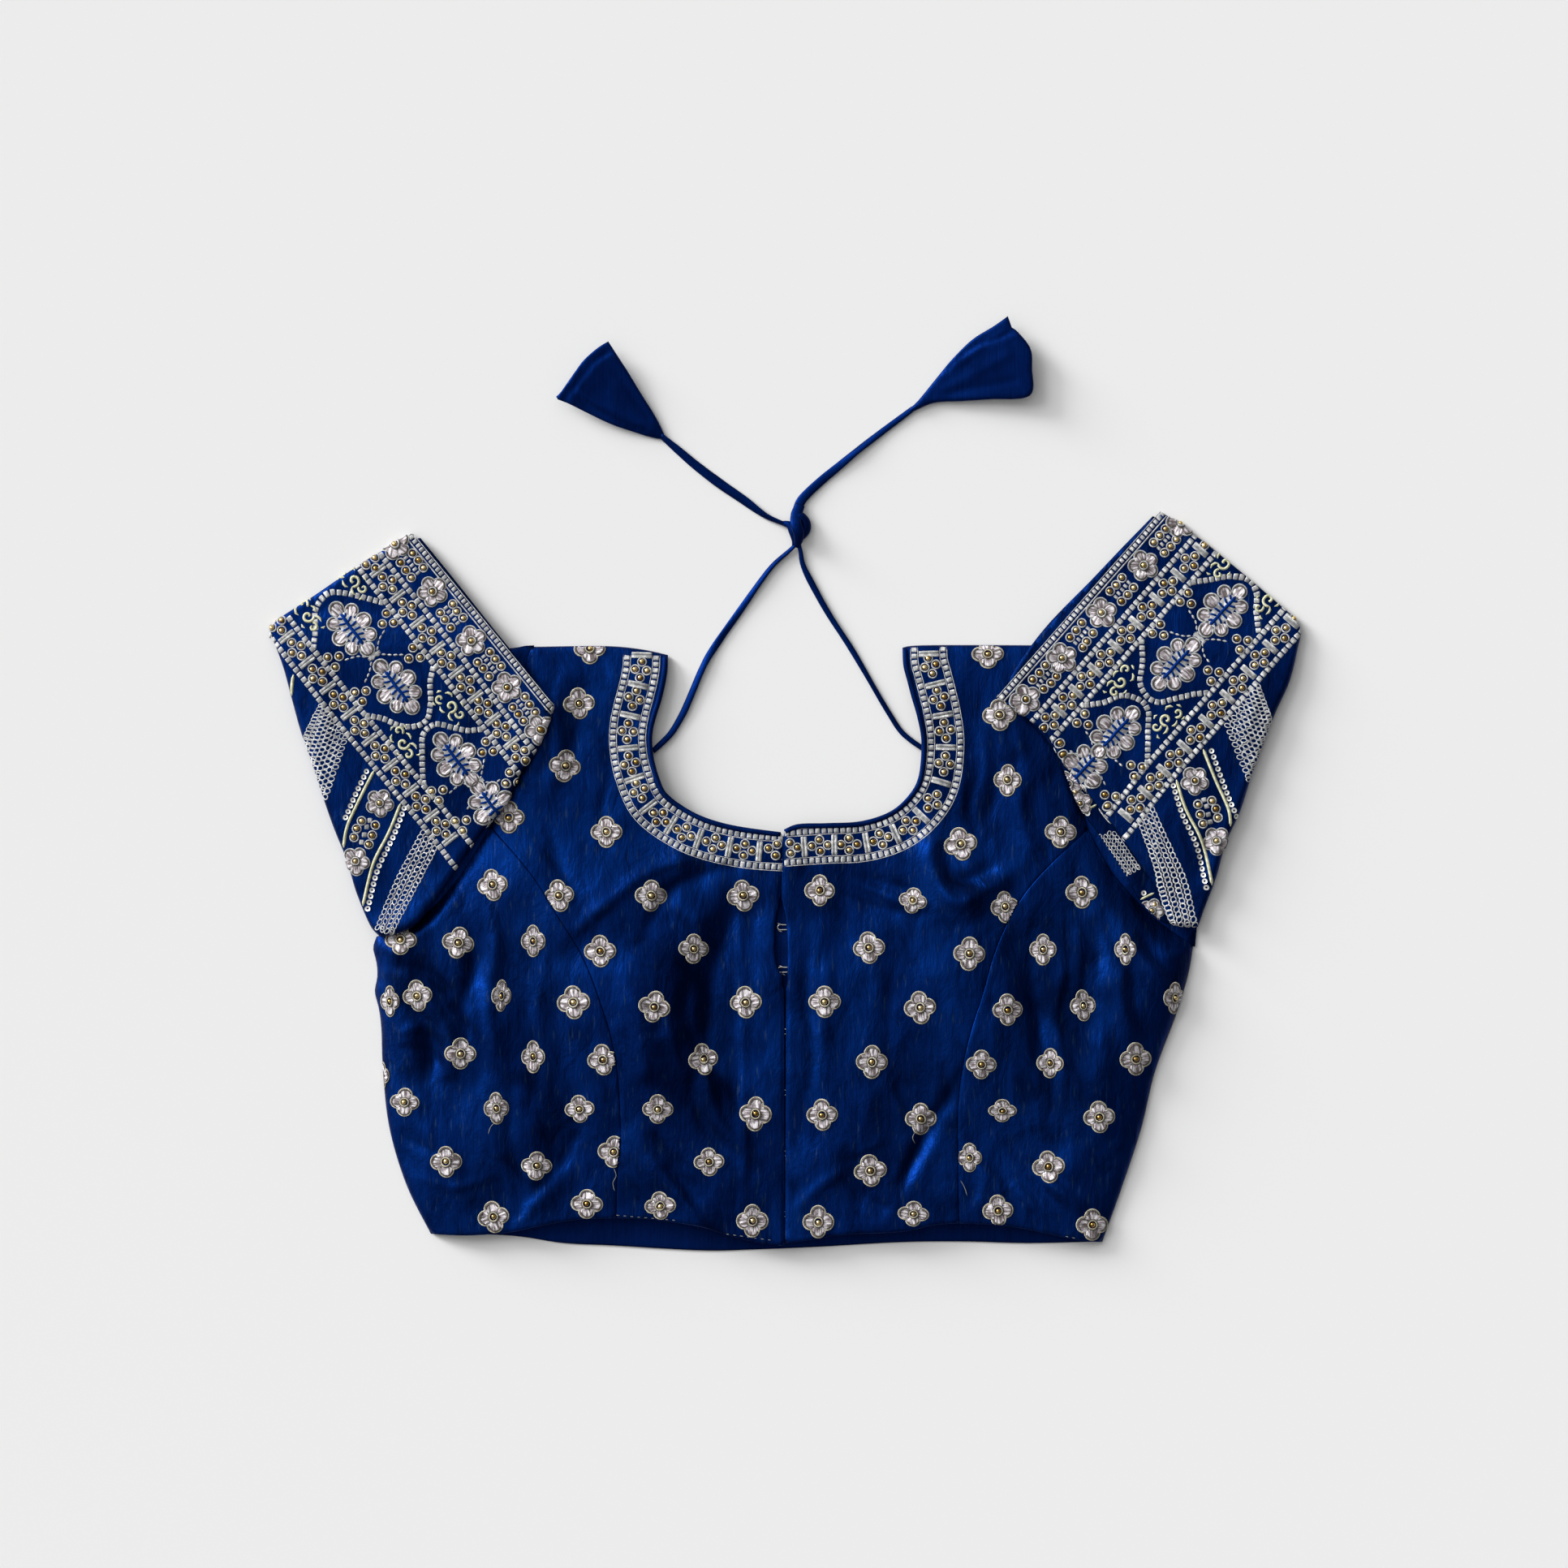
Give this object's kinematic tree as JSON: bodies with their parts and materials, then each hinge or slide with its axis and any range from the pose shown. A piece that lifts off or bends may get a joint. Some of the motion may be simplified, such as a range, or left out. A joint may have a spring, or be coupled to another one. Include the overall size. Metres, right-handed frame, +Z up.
{
  "type": "choli blouse",
  "caption": "Saree blouse laid flat, princess-cut fronts, embroidered neck border and turned-back sleeves, tied neck strings with flat cloth ends.",
  "frame": {"origin": "on the surface it lies on, under the middle of the garment's outline without its ties", "axes": "+X to the right of the picture, along the width over the turned-back sleeves; +Y from hem to neck; +Z up from the surface"},
  "size_m": [0.5901, 0.5348, 0.0171],
  "materials": {
    "silk_satin": "blue silk satin with a soft sheen",
    "silk_plain": "plain side of the blue silk, and its binding and ties",
    "hook_wire": "small wire hooks",
    "silver_thread": "silver-white embroidery thread",
    "pink_thread": "pale pink-silver satin stitch of the flower petals",
    "cream_thread": "cream-gold outline thread",
    "gold_bead": "small faceted gold beads",
    "sequin": "small silver sequins"
  },
  "bodies": {
    "root": {"back_panel": "silk_plain", "front_centre_left": "silk_satin", "front_centre_right": "silk_satin", "front_side_left": "silk_satin", "front_side_right": "silk_satin", "placket_underlap": "silk_plain", "neck_piping_left": "silk_plain", "neck_piping_right": "silk_plain", "sleeve_left": "silk_satin", "sleeve_left_under": "silk_satin", "sleeve_left_inner": "silk_satin", "sleeve_right": "silk_satin", "sleeve_right_under": "silk_satin", "sleeve_right_inner": "silk_satin", "dori_left_lower": "silk_plain", "dori_right_lower": "silk_plain", "dori_left_upper": "silk_plain", "dori_right_upper": "silk_plain", "dori_knot": "silk_plain", "dori_flag_left": "silk_plain", "dori_flag_right": "silk_plain", "hook_1": "hook_wire", "hook_2": "hook_wire", "hook_3": "hook_wire", "hook_4": "hook_wire", "hook_5": "hook_wire", "hook_6": "hook_wire", "hook_7": "hook_wire"}
  },
  "joints": []
}
